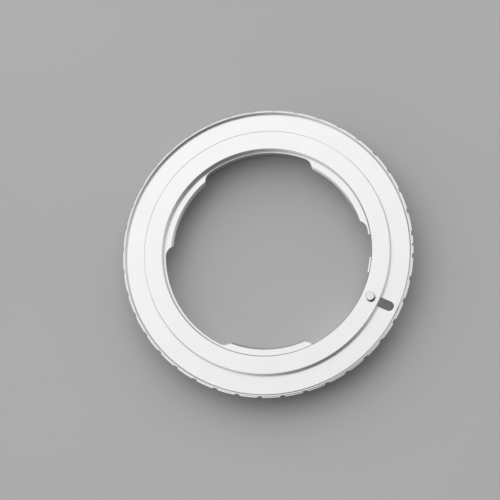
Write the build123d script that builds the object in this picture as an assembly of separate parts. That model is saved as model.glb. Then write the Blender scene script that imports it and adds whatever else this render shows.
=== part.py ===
from build123d import *
import os
from math import cos, radians, sin

# Thin ring adapter between a lens bayonet (up, +Z) and a camera bayonet (down, -Z).
# X passes through the lock pin. All sizes are in millimetres and all angles in degrees.

# Heights
boss_height = 4.4
seat_distance = 2.5
channel_depth = 1.55
rim_height = 0.85
lip_height = 0.55
grip_height = 0.6
tab_depth = 1.45
tab_thickness = 1.45
seat_relief_depth = 0.2

# Widths of the lens side, from the throat outwards
throat_radius = 21.53
tab_reach = 1.5
ledge_width = 0.47
lens_seat_width = 4.24
channel_width = 4.24
lip_width = 0.54
lip_step = 0.22
foot_taper = 0.55

# Widths of the camera side, from the lens bore outwards
boss_bore_step = 0.2
boss_wall = 1.7
lug_reach = 1.5
seat_relief_margin = 0.25

# Bevels and edge breaks
tab_tip_bevel = 0.42
bore_edge_break = 0.2
bore_foot_bevel = 0.12
seat_edge_break = 0.15
channel_foot_bevel = 0.06
rim_bevel = 0.3
lip_break = 0.06
boss_end_break = 0.2

# Lens tabs: the spacing is uneven, so that a lens enters in one position only
tab_centres = (-64.7, 65.2, 177.5)
tab_tip_angle = 43.5
tab_root_angle = 48.5
tab_root_fillet = 2.4
tab_corner_fillet = 0.1

# Arc beside the lock pin over which the ledge is cut away, down a wall that leans in
ledge_gap_start = -39.7
ledge_gap_end = 12.4
ledge_gap_lean = 0.3

# Camera lugs
lug_gap = 1.6
lug_thickness = 1.5
lug_centres = (75.0, 195.0, 315.0)
lug_root_angles = (54.0, 60.0, 54.0)
lug_end_slant = 1.5
lug_edge_break = 0.3

# Grip: even notches round the edge, and one narrow index notch half-way between two of them
notch_count = 40
notch_start = 4.16
notch_mouth = 1.2
notch_floor = 0.7
notch_depth = 0.45
index_pitches_from_start = 2.5
index_mouth = 0.7
index_floor = 0.35
index_depth = 0.35

# Slot for the camera's own lock pin
slot_angle = -0.2
slot_width = 2.2
slot_end_margin = 0.85
slot_undercut_reach = 0.25
slot_undercut = 0.25

# Lens lock: a pin on a leaf spring, in a pocket that is open towards the camera
pin_setback = 2.15
pin_radius = 1.0
pin_rise = 1.2
pin_break = 0.07
pin_clearance = 0.04
rivet_radius = 0.6
rivet_head_radius = 0.9
rivet_head_height = 0.18
rivet_clearance = 0.02
pocket_roof = 0.95
pocket_clearance = 0.2
spring_thickness = 0.3
spring_width = 2.2
screw_angle = 27.4
screw_setback = 1.8
screw_pad_radius = 1.5
screw_thread_radius = 0.7
screw_thread_depth = 0.65
screw_clearance = 0.02
screw_head_radius = 1.3
screw_head_height = 0.6
screw_head_break = 0.15
screw_slot_width = 0.35
screw_slot_depth = 0.3
pad_pocket_setback = 0.6
pad_pocket_radius = 2.8
boss_gap_before_pin = 8.0
boss_gap_past_screw = 10.6

# Radii that follow from the sizes
ledge_radius = throat_radius + tab_reach
lens_bore_radius = ledge_radius + ledge_width
lens_seat_radius = lens_bore_radius + lens_seat_width
channel_wall_radius = lens_seat_radius + channel_width
lip_radius = channel_wall_radius + lip_width
grip_radius = lip_radius + lip_step
flange_foot_radius = grip_radius - foot_taper
boss_bore_radius = lens_bore_radius + boss_bore_step
boss_radius = boss_bore_radius + boss_wall
lug_radius = boss_radius + lug_reach
seat_relief_radius = lug_radius + seat_relief_margin
pin_circle_radius = lens_bore_radius + pin_setback
screw_circle_radius = lens_bore_radius + screw_setback
pad_pocket_circle_radius = lens_bore_radius + pad_pocket_setback

# Levels that follow from the sizes
camera_seat = boss_height
lens_seat = camera_seat + seat_distance
channel_floor = lens_seat - channel_depth
rim_top = channel_floor + rim_height
grip_top = rim_top - lip_height
grip_bottom = grip_top - grip_height
tab_top = lens_seat - tab_depth
tab_bottom = tab_top - tab_thickness
pocket_top = lens_seat - pocket_roof
spring_bottom = pocket_top - spring_thickness

# How far a cutting shape passes the face that it opens, and how near counts as the same place
overcut = 1.0
same_place = 0.01


def polar(radius, angle):
    return Vector(radius * cos(radians(angle)), radius * sin(radians(angle)))


def corner(sketch, point):
    return sketch.vertices().sort_by_distance((*point, 0))[0]


def prism(sketch, bottom, top):
    return extrude(Plane.XY.offset(bottom) * sketch, top - bottom)


def turned(outline, angle=360.0):
    return revolve(Plane.XZ * outline, Axis.Z, angle)


def polygon(*points):
    return make_face(Polyline(*points, close=True))


def fan(centre, inner_radius, inner_angle, outer_radius, outer_angle):
    # Straight slanted ends, as far apart at each radius as its angle says, and long at both
    ends = []
    for side in (-1, 1):
        inner = polar(inner_radius, centre + side * inner_angle / 2)
        outer = polar(outer_radius, centre + side * outer_angle / 2)
        length = outer - inner
        ends.append([inner - length, outer + length])
    first, second = ends
    return polygon(*first, polar(2 * outer_radius, centre), *reversed(second))


def ring_section():
    tab_edge = (throat_radius, tab_top)
    bore_foot = (lens_bore_radius, tab_top)
    bore_edge = (lens_bore_radius, lens_seat)
    seat_edge = (lens_seat_radius, lens_seat)
    seat_foot = (lens_seat_radius, channel_floor)
    rim_foot = (channel_wall_radius, channel_floor)
    rim_edge = (channel_wall_radius, rim_top)
    lip_edge = (lip_radius, rim_top)
    boss_outer = (boss_radius, 0)
    boss_inner = (boss_bore_radius, 0)
    section = polygon(
        (throat_radius, tab_bottom),
        tab_edge,
        bore_foot,
        bore_edge,
        seat_edge,
        seat_foot,
        rim_foot,
        rim_edge,
        lip_edge,
        (lip_radius, grip_top),
        (grip_radius, grip_top),
        (grip_radius, grip_bottom),
        (flange_foot_radius, camera_seat),
        (seat_relief_radius, camera_seat),
        (seat_relief_radius, camera_seat + seat_relief_depth),
        (boss_radius, camera_seat + seat_relief_depth),
        boss_outer,
        boss_inner,
        (boss_bore_radius, tab_bottom),
    )
    section = chamfer(corner(section, tab_edge), tab_tip_bevel)
    section = chamfer(corner(section, bore_foot), bore_foot_bevel)
    section = chamfer(corner(section, bore_edge), bore_edge_break)
    section = chamfer(corner(section, seat_edge), seat_edge_break)
    section = chamfer([corner(section, seat_foot), corner(section, rim_foot)], channel_foot_bevel)
    section = chamfer(corner(section, rim_edge), rim_bevel)
    section = chamfer(corner(section, lip_edge), lip_break)
    return chamfer([corner(section, boss_outer), corner(section, boss_inner)], boss_end_break)


def lens_opening():
    # What is milled out of the web, so that three tabs and a narrow ledge stay
    opening = Circle(ledge_radius)
    for centre in tab_centres:
        tab = fan(centre, throat_radius, tab_tip_angle, ledge_radius, tab_root_angle)
        opening -= tab - Circle(throat_radius)
    middle = throat_radius + tab_reach / 2
    roots = [v for v in opening.vertices() if Vector(v.X, v.Y).length > middle]
    opening = fillet(roots, tab_root_fillet)
    tips = [v for v in opening.vertices() if Vector(v.X, v.Y).length < throat_radius + same_place]
    return fillet(tips, tab_corner_fillet)


def ledge_gap():
    top = tab_top + bore_foot_bevel
    bottom = tab_bottom - overcut
    wall = polygon(
        (throat_radius, bottom),
        (lens_bore_radius - ledge_gap_lean, bottom),
        (lens_bore_radius, top),
        (throat_radius, top),
    )
    return Rot(Z=ledge_gap_start) * turned(wall, ledge_gap_end - ledge_gap_start)


def camera_lug(centre, root_angle):
    top = camera_seat - lug_gap
    bottom = top - lug_thickness
    inside = boss_radius - boss_wall / 2
    plan = fan(centre, boss_radius, root_angle, lug_radius, root_angle - 2 * lug_end_slant)
    lug = prism(plan & (Circle(lug_radius) - Circle(inside)), bottom, top)
    lower_edges = lug.edges().group_by(Axis.Z)[0].sort_by_distance((0, 0, bottom))
    return chamfer(lower_edges[1:], lug_edge_break)


def notch(angle, mouth, floor, depth):
    foot = grip_radius - depth
    outside = grip_radius + overcut
    plan = polygon(
        (foot, -floor / 2),
        (grip_radius, -mouth / 2),
        (outside, -mouth / 2),
        (outside, mouth / 2),
        (grip_radius, mouth / 2),
        (foot, floor / 2),
    )
    return prism(Rot(Z=angle) * plan, camera_seat - overcut, grip_top)


def grip_notches():
    pitch = 360 / notch_count
    notches = []
    for index in range(notch_count):
        notches.append(notch(notch_start + index * pitch, notch_mouth, notch_floor, notch_depth))
    index_angle = notch_start + index_pitches_from_start * pitch
    notches.append(notch(index_angle, index_mouth, index_floor, index_depth))
    return notches


def camera_pin_slot():
    inner = lens_seat_radius - slot_undercut_reach
    end_centre = channel_wall_radius - slot_end_margin - slot_width / 2
    plan = polygon(
        (inner, -slot_width / 2),
        (end_centre, -slot_width / 2),
        (end_centre, slot_width / 2),
        (inner, slot_width / 2),
    )
    plan += Pos(end_centre, 0) * Circle(slot_width / 2)
    return Rot(Z=slot_angle) * prism(plan, camera_seat - overcut, channel_floor + slot_undercut)


def spring_outline(margin):
    blade = CenterArc((0, 0), pin_circle_radius, 0, screw_angle)
    return SlotArc(blade, spring_width + 2 * margin)


def spring_pocket():
    plan = spring_outline(pocket_clearance)
    plan += Pos(polar(pad_pocket_circle_radius, screw_angle)) * Circle(pad_pocket_radius)
    pocket = prism(plan, tab_bottom - overcut, pocket_top)
    # The boss is cut away below the pocket
    inner = boss_bore_radius - overcut
    outer = boss_radius + overcut
    wall = polygon((inner, -overcut), (outer, -overcut), (outer, tab_bottom), (inner, tab_bottom))
    gap_angle = boss_gap_before_pin + screw_angle + boss_gap_past_screw
    gap = Rot(Z=-boss_gap_before_pin) * turned(wall, gap_angle)
    pin_plan = Pos(pin_circle_radius, 0) * Circle(pin_radius + pin_clearance)
    pin_hole = prism(pin_plan, camera_seat, lens_seat + overcut)
    screw_plan = Pos(polar(screw_circle_radius, screw_angle)) * Circle(screw_thread_radius + screw_clearance)
    screw_hole = prism(screw_plan, camera_seat, pocket_top + screw_thread_depth)
    return [pocket, gap, pin_hole, screw_hole]


def adapter_body():
    body = turned(ring_section())
    for centre, root_angle in zip(lug_centres, lug_root_angles):
        body += camera_lug(centre, root_angle)
    body -= prism(lens_opening(), tab_bottom - overcut, tab_top + overcut)
    body -= ledge_gap()
    body -= camera_pin_slot()
    body -= spring_pocket()
    body -= grip_notches()
    return body


def lock_pin():
    top = lens_seat + pin_rise
    section = polygon(
        (0, spring_bottom),
        (rivet_head_radius, spring_bottom),
        (rivet_radius, spring_bottom + rivet_head_height),
        (rivet_radius, pocket_top),
        (pin_radius, pocket_top),
        (pin_radius, top - pin_break),
        (pin_radius - pin_break, top),
        (0, top),
    )
    return Pos(pin_circle_radius, 0) * turned(section)


def lock_spring():
    plan = spring_outline(0)
    screw_place = Pos(polar(screw_circle_radius, screw_angle))
    plan += screw_place * Circle(screw_pad_radius)
    plan -= screw_place * Circle(screw_thread_radius + screw_clearance)
    leaf = prism(plan, spring_bottom, pocket_top)
    hole_radius = rivet_radius + rivet_clearance
    sink_radius = rivet_head_radius + rivet_clearance
    hole = polygon(
        (0, spring_bottom),
        (sink_radius, spring_bottom),
        (hole_radius, spring_bottom + rivet_head_height),
        (hole_radius, pocket_top),
        (0, pocket_top),
    )
    return leaf - Pos(pin_circle_radius, 0) * turned(hole)


def spring_screw():
    head_bottom = spring_bottom - screw_head_height
    head = prism(Circle(screw_head_radius), head_bottom, spring_bottom)
    head = chamfer(head.edges().group_by(Axis.Z)[0], screw_head_break)
    slot = Rectangle(2 * screw_head_radius, screw_slot_width)
    head -= prism(slot, head_bottom, head_bottom + screw_slot_depth)
    thread = prism(Circle(screw_thread_radius), spring_bottom, pocket_top + screw_thread_depth)
    return Pos(polar(screw_circle_radius, screw_angle)) * Rot(Z=screw_angle) * (head + thread)


pieces = {
    "adapter_body": adapter_body(),
    "lock_pin": lock_pin(),
    "lock_spring": lock_spring(),
    "spring_screw": spring_screw(),
}
os.makedirs("parts", exist_ok=True)
for name, piece in pieces.items():
    export_step(piece, f"parts/{name}.step")
    print(f"{name}: {piece.volume:.2f} mm3")
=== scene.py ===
import bpy
import math
from mathutils import Matrix, Vector


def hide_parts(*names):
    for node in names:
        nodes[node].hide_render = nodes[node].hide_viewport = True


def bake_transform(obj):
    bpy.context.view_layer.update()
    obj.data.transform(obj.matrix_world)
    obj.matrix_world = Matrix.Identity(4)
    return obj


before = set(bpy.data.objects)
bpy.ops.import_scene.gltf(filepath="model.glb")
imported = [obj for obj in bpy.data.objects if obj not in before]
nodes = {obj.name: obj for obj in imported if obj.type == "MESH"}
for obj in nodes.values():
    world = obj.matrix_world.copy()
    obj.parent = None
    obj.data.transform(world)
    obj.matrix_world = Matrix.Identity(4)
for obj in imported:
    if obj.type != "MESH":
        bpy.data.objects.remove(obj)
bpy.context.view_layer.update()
print("frame loaded:", ", ".join(sorted(nodes)))

mm = 0.001
lensAxis = (0.0, 0.0, 0.0)

# where the lock pin and the spring screw stand, in millimetres and degrees
pinCircle = 25.65
screwCircle = 25.3
screwAngle = 27.4


def place(radius, angle, height):
    turn = math.radians(angle)
    return Vector((radius * math.cos(turn), radius * math.sin(turn), height))


# short helpers for material nodes
def newFinish(name):
    finish = bpy.data.materials.new(name)
    finish.use_nodes = True
    tree = finish.node_tree
    return finish, tree, tree.nodes["Principled BSDF"]


def addNode(tree, kind, **values):
    node = tree.nodes.new(kind)
    for key, value in values.items():
        setattr(node, key, value)
    return node


def feed(tree, source, target):
    if hasattr(source, "is_linked"):
        tree.links.new(source, target)
    else:
        target.default_value = source


def mathNode(tree, operation, first, second=0.0):
    node = addNode(tree, "ShaderNodeMath", operation=operation)
    feed(tree, first, node.inputs[0])
    feed(tree, second, node.inputs[1])
    return node.outputs[0]


def vectorNode(tree, operation, first, second):
    node = addNode(tree, "ShaderNodeVectorMath", operation=operation)
    feed(tree, first, node.inputs[0])
    feed(tree, second, node.inputs[1])
    return node.outputs["Vector" if operation == "MULTIPLY" else "Value"]


def noiseNode(tree, vector, scale, detail, rough):
    node = addNode(tree, "ShaderNodeTexNoise")
    feed(tree, vector, node.inputs["Vector"])
    node.inputs["Scale"].default_value = scale
    node.inputs["Detail"].default_value = detail
    node.inputs["Roughness"].default_value = rough
    return node.outputs["Fac"]


def spread(tree, value, span, result):
    node = addNode(tree, "ShaderNodeMapRange")
    feed(tree, value, node.inputs["Value"])
    for key, number in zip(("From Min", "From Max", "To Min", "To Max"), (*span, *result)):
        node.inputs[key].default_value = number
    return node.outputs["Result"]


def grey(tree, value):
    node = addNode(tree, "ShaderNodeCombineColor")
    for key in ("Red", "Green", "Blue"):
        feed(tree, value, node.inputs[key])
    return node.outputs["Color"]


# how busy each noise is, and the part of its range that is used
lineNoise = {"detail": 3.0, "rough": 0.6}
patchNoise = {"detail": 4.0, "rough": 0.55}
speckNoise = {"detail": 1.0, "rough": 0.4}
noiseSpan = (0.3, 0.7)
speckSpan = (0.72, 0.8)
wallSpan = (0.75, 0.97)  # upward share of the normal, from bevels to flats


def turnedLines(tree, centre, fine):
    # lathe marks: the same all the way round an axis, changing along radius and height
    coords = addNode(tree, "ShaderNodeTexCoord").outputs["Object"]
    centred = addNode(tree, "ShaderNodeMapping")
    centred.inputs["Location"].default_value = [-c for c in centre]
    feed(tree, coords, centred.inputs["Vector"])
    moved = centred.outputs["Vector"]
    flat = vectorNode(tree, "MULTIPLY", moved, (1.0, 1.0, 0.0))
    radius = vectorNode(tree, "LENGTH", flat, (0.0, 0.0, 0.0))
    height = addNode(tree, "ShaderNodeSeparateXYZ")
    feed(tree, moved, height.inputs[0])
    along = addNode(tree, "ShaderNodeCombineXYZ")
    feed(tree, radius, along.inputs[0])
    feed(tree, height.outputs[2], along.inputs[1])
    return coords, noiseNode(tree, along.outputs[0], fine, **lineNoise)


def wallShare(tree, share):
    # 1 on faces square to the axis, and the given share on walls and bevels: the tone share there is
    # painted shade, and the roughness share makes them burnished
    facing = addNode(tree, "ShaderNodeSeparateXYZ")
    feed(tree, addNode(tree, "ShaderNodeTexCoord").outputs["Normal"], facing.inputs[0])
    return spread(tree, mathNode(tree, "ABSOLUTE", facing.outputs[2]), wallSpan, (share, 1.0))


def bumped(tree, shader, height, depth, strength):
    node = addNode(tree, "ShaderNodeBump")
    node.inputs["Strength"].default_value = strength
    node.inputs["Distance"].default_value = depth
    feed(tree, height, node.inputs["Height"])
    tree.links.new(node.outputs["Normal"], shader.inputs["Normal"])


def turnedMetal(name, look):
    finish, tree, shader = newFinish(name)
    shader.inputs["Metallic"].default_value = 1.0
    # painted shade: a grey specular tint darkens the metal where it is seen at a grazing angle, so walls
    # seen side-on read darker
    shader.inputs["Specular Tint"].default_value = (look["grazingShade"],) * 3 + (1.0,)
    coords, lines = turnedLines(tree, look["axis"], look["lineScale"])
    patches = noiseNode(tree, coords, look["patchScale"], **patchNoise)
    specks = noiseNode(tree, coords, look["speckScale"], **speckNoise)
    tone = spread(tree, lines, noiseSpan, look["tone"])
    patchTone = spread(tree, patches, noiseSpan, (-look["patchTone"], look["patchTone"]))
    tone = mathNode(tree, "ADD", tone, patchTone)
    tone = mathNode(tree, "ADD", tone, spread(tree, specks, speckSpan, (0.0, -look["speckTone"])))
    # painted shade: walls and bevels get a darker base colour than flats, by the direction they face
    tone = mathNode(tree, "MULTIPLY", tone, wallShare(tree, look["wallShade"]))
    tree.links.new(grey(tree, tone), shader.inputs["Base Color"])
    rough = spread(tree, lines, noiseSpan, look["rough"])
    patchRough = spread(tree, patches, noiseSpan, (-look["patchRough"], look["patchRough"]))
    rough = mathNode(tree, "ADD", rough, patchRough)
    rough = mathNode(tree, "MULTIPLY", rough, wallShare(tree, look["wallRough"]))
    tree.links.new(rough, shader.inputs["Roughness"])
    bumped(tree, shader, lines, look["lineDepth"], look["lineStrength"])
    return finish


def dress(piece, finish):
    piece.data.materials.clear()
    piece.data.materials.append(finish)


ringLook = {
    "axis": lensAxis,
    "lineScale": 9000.0,
    "patchScale": 140.0,
    "speckScale": 2600.0,
    "tone": (0.86, 0.9),
    "patchTone": 0.012,
    "speckTone": 0.12,
    "rough": (0.18, 0.25),
    "wallRough": 0.6,
    # painted shade: walls and bevels a shade darker than flats
    "wallShade": 0.97,
    "grazingShade": 1.0,
    "patchRough": 0.02,
    "lineDepth": 0.004 * mm,
    "lineStrength": 0.25,
}
dress(nodes["adapter_body"], turnedMetal("platedRing", ringLook))
print("ring plated")

pinLook = {
    "axis": (pinCircle * mm, 0.0, 0.0),
    "lineScale": 14000.0,
    "patchScale": 700.0,
    "speckScale": 5000.0,
    "tone": (0.76, 0.84),
    "patchTone": 0.02,
    "speckTone": 0.1,
    "rough": (0.2, 0.3),
    "wallRough": 0.35,
    # painted shade: the pin's side is much darker than its top, in base colour and in grazing tint
    "wallShade": 0.4,
    "grazingShade": 0.4,
    "patchRough": 0.03,
    "lineDepth": 0.004 * mm,
    "lineStrength": 0.3,
}
dress(nodes["lock_pin"], turnedMetal("pinSteel", pinLook))
print("pin finished")

screwLook = {
    "axis": tuple(place(screwCircle * mm, screwAngle, 0.0)),
    "lineScale": 12000.0,
    "patchScale": 900.0,
    "speckScale": 6000.0,
    "tone": (0.5, 0.62),
    "patchTone": 0.04,
    "speckTone": 0.2,
    "rough": (0.28, 0.4),
    "wallRough": 0.8,
    # painted shade: walls, bevels and grazing tint a little darker than flats
    "wallShade": 0.9,
    "grazingShade": 0.9,
    "patchRough": 0.05,
    "lineDepth": 0.006 * mm,
    "lineStrength": 0.35,
}
dress(nodes["spring_screw"], turnedMetal("screwSteel", screwLook))
print("screw finished")

# the leaf is modelled at 1 unit to the millimetre, then brought to size
leafSize = {
    "width": 2.2,
    "bottom": 5.65,
    "thickness": 0.3,
    "steps": 28,
    "padRadius": 1.5,
    "screwHole": 0.72,
    "rivetHole": 0.62,
    "sinkRadius": 0.92,
    "sinkDepth": 0.18,
    "roundSides": 48,
    "drillDepth": 1.0,
    "mergeWithin": 0.0005,
    "edge": 0.03,
    "edgeSegments": 2,
    "edgeAngle": 40.0,
    "smoothAngle": 35.0,
}


def active(piece):
    bpy.ops.object.select_all(action="DESELECT")
    piece.select_set(True)
    bpy.context.view_layer.objects.active = piece


def applyModifier(piece, kind, **values):
    active(piece)
    modifier = piece.modifiers.new(kind.title(), kind)
    for key, value in values.items():
        setattr(modifier, key, value)
    bpy.ops.object.modifier_apply(modifier=modifier.name)


def punch(piece, tool, operation):
    applyModifier(piece, "BOOLEAN", object=tool, operation=operation, solver="EXACT")
    bpy.data.objects.remove(tool)


def disc(sides, radius, depth, spot):
    bpy.ops.mesh.primitive_cylinder_add(vertices=sides, radius=radius, depth=depth, location=spot)
    return bpy.context.active_object


def leafSpring(size):
    bpy.ops.object.select_all(action="DESELECT")
    sides = size["roundSides"]
    thickness = size["thickness"]
    middle = size["bottom"] + thickness / 2
    # a plane on end is the blade's section, and the spin carries it round the optical axis
    section = (pinCircle, 0.0, middle)
    bpy.ops.mesh.primitive_plane_add(size=1.0, location=section, rotation=(math.pi / 2, 0.0, 0.0))
    leaf = bpy.context.active_object
    leaf.name = "leafSpring"
    leaf.scale = (size["width"], thickness, 1.0)
    bpy.ops.object.transform_apply(location=True, rotation=True, scale=True)
    bpy.ops.object.mode_set(mode="EDIT")
    bpy.ops.mesh.select_all(action="SELECT")
    # fault: this turns away from the screw, so the pad there stays apart
    sweep = math.radians(screwAngle)
    bpy.ops.mesh.spin(steps=size["steps"], angle=sweep, center=lensAxis, axis=(0.0, 0.0, 1.0))
    bpy.ops.mesh.select_all(action="SELECT")
    bpy.ops.mesh.remove_doubles(threshold=size["mergeWithin"])
    bpy.ops.mesh.normals_make_consistent(inside=False)
    bpy.ops.object.mode_set(mode="OBJECT")
    pin = place(pinCircle, 0.0, middle)
    screw = place(screwCircle, screwAngle, middle)
    punch(leaf, disc(sides, size["width"] / 2, thickness, pin), "UNION")
    punch(leaf, disc(sides, size["padRadius"], thickness, screw), "UNION")
    punch(leaf, disc(sides, size["screwHole"], size["drillDepth"], screw), "DIFFERENCE")
    punch(leaf, disc(sides, size["rivetHole"], size["drillDepth"], pin), "DIFFERENCE")
    bpy.ops.object.select_all(action="DESELECT")
    bpy.ops.mesh.primitive_cone_add(
        vertices=sides,
        radius1=size["sinkRadius"],
        radius2=size["rivetHole"],
        depth=size["sinkDepth"],
        location=(pin.x, pin.y, size["bottom"] + size["sinkDepth"] / 2),
    )
    punch(leaf, bpy.context.active_object, "DIFFERENCE")
    applyModifier(
        leaf,
        "BEVEL",
        width=size["edge"],
        segments=size["edgeSegments"],
        limit_method="ANGLE",
        angle_limit=math.radians(size["edgeAngle"]),
    )
    leaf.scale = (mm, mm, mm)
    active(leaf)
    bpy.ops.object.transform_apply(location=False, rotation=False, scale=True)
    bpy.ops.object.shade_smooth_by_angle(angle=math.radians(size["smoothAngle"]))
    return leaf


leaf = leafSpring(leafSize)
leafLook = {
    "axis": lensAxis,
    "lineScale": 16000.0,
    "patchScale": 500.0,
    "speckScale": 5000.0,
    "tone": (0.5, 0.6),
    "patchTone": 0.05,
    "speckTone": 0.15,
    "rough": (0.22, 0.36),
    "wallRough": 0.9,
    # painted shade: walls, bevels and grazing tint a little darker than flats
    "wallShade": 0.85,
    "grazingShade": 0.9,
    "patchRough": 0.04,
    "lineDepth": 0.004 * mm,
    "lineStrength": 0.3,
}
leaf.data.materials.append(turnedMetal("springSteel", leafLook))
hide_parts("lock_spring")
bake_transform(leaf)
print("leaf spring modelled,", len(leaf.data.polygons), "faces")

floorLook = {
    "size": 3.0,
    "tone": (0.58, 0.62),
    "patchScale": 6.0,
    "patchDetail": 3.0,
    "patchRough": 0.5,
    "rough": 0.65,
}
bpy.ops.object.select_all(action="DESELECT")
bpy.ops.mesh.primitive_plane_add(size=floorLook["size"], location=(0.0, 0.0, 0.0))
floor = bpy.context.active_object
floor.name = "studioFloor"
floorFinish, floorTree, floorShader = newFinish("paleFloor")
floorShader.inputs["Roughness"].default_value = floorLook["rough"]
floorPatches = noiseNode(
    floorTree,
    addNode(floorTree, "ShaderNodeTexCoord").outputs["Object"],
    floorLook["patchScale"],
    floorLook["patchDetail"],
    floorLook["patchRough"],
)
floorTone = spread(floorTree, floorPatches, noiseSpan, floorLook["tone"])
floorTree.links.new(grey(floorTree, floorTone), floorShader.inputs["Base Color"])
floor.data.materials.append(floorFinish)
print("floor laid")

# a large soft panel high on one side of the axis, and a grey room that is darker opposite it
panelLight = {"toward": 135.0, "tilt": 31.0, "distance": 1.1, "size": (1.8, 1.8), "power": 6.7}
roomLight = {
    "tone": 0.75,
    "darkTone": 0.1,
    "toward": -33.0,
    "rise": 56.0,
    "edge": (0.35, 0.85),
    "horizon": (0.05, 0.4),
    "horizonShare": 0.75,
}
panelTilt = math.radians(panelLight["tilt"])
panelAway = place(math.sin(panelTilt), panelLight["toward"], math.cos(panelTilt))
bpy.ops.object.light_add(type="AREA", location=panelAway * panelLight["distance"])
panel = bpy.context.active_object
panel.name = "softPanel"
panel.rotation_euler = panelAway.to_track_quat("Z", "Y").to_euler()
panel.data.shape = "RECTANGLE"
panel.data.size, panel.data.size_y = panelLight["size"]
panel.data.energy = panelLight["power"]

room = bpy.data.worlds.new("studioRoom")
room.use_nodes = True
bpy.context.scene.world = room
roomTree = room.node_tree
roomDirection = addNode(roomTree, "ShaderNodeTexCoord").outputs["Generated"]
roomRise = math.radians(roomLight["rise"])
darkWay = place(math.cos(roomRise), roomLight["toward"], math.sin(roomRise))
darkSide = vectorNode(roomTree, "DOT_PRODUCT", roomDirection, darkWay)
roomTone = spread(roomTree, darkSide, roomLight["edge"], (roomLight["tone"], roomLight["darkTone"]))
roomHeight = addNode(roomTree, "ShaderNodeSeparateXYZ")
feed(roomTree, roomDirection, roomHeight.inputs[0])
roomRising = spread(roomTree, roomHeight.outputs[2], roomLight["horizon"], (roomLight["horizonShare"], 1.0))
roomTone = mathNode(roomTree, "MULTIPLY", roomTone, roomRising)
roomTree.links.new(grey(roomTree, roomTone), roomTree.nodes["Background"].inputs["Color"])
print("light set")

view = {
    "spot": (111.86 * mm, -68.918 * mm, 525.795 * mm),
    "right": (0.8961, 0.4198, -0.1444),
    "up": (-0.3882, 0.8988, 0.2037),
    "back": (0.2153, -0.1264, 0.9683),
    "lens": 172.8,
    "sensor": 36.0,
    "nearest": 0.01,
}
turned = Matrix((view["right"], view["up"], view["back"])).transposed()
bpy.ops.object.camera_add(location=view["spot"], rotation=turned.to_euler())
camera = bpy.context.active_object
camera.data.lens = view["lens"]
camera.data.sensor_width = view["sensor"]
camera.data.clip_start = view["nearest"]
bpy.context.scene.camera = camera
bpy.context.scene.view_settings.view_transform = "Standard"
print("camera set")
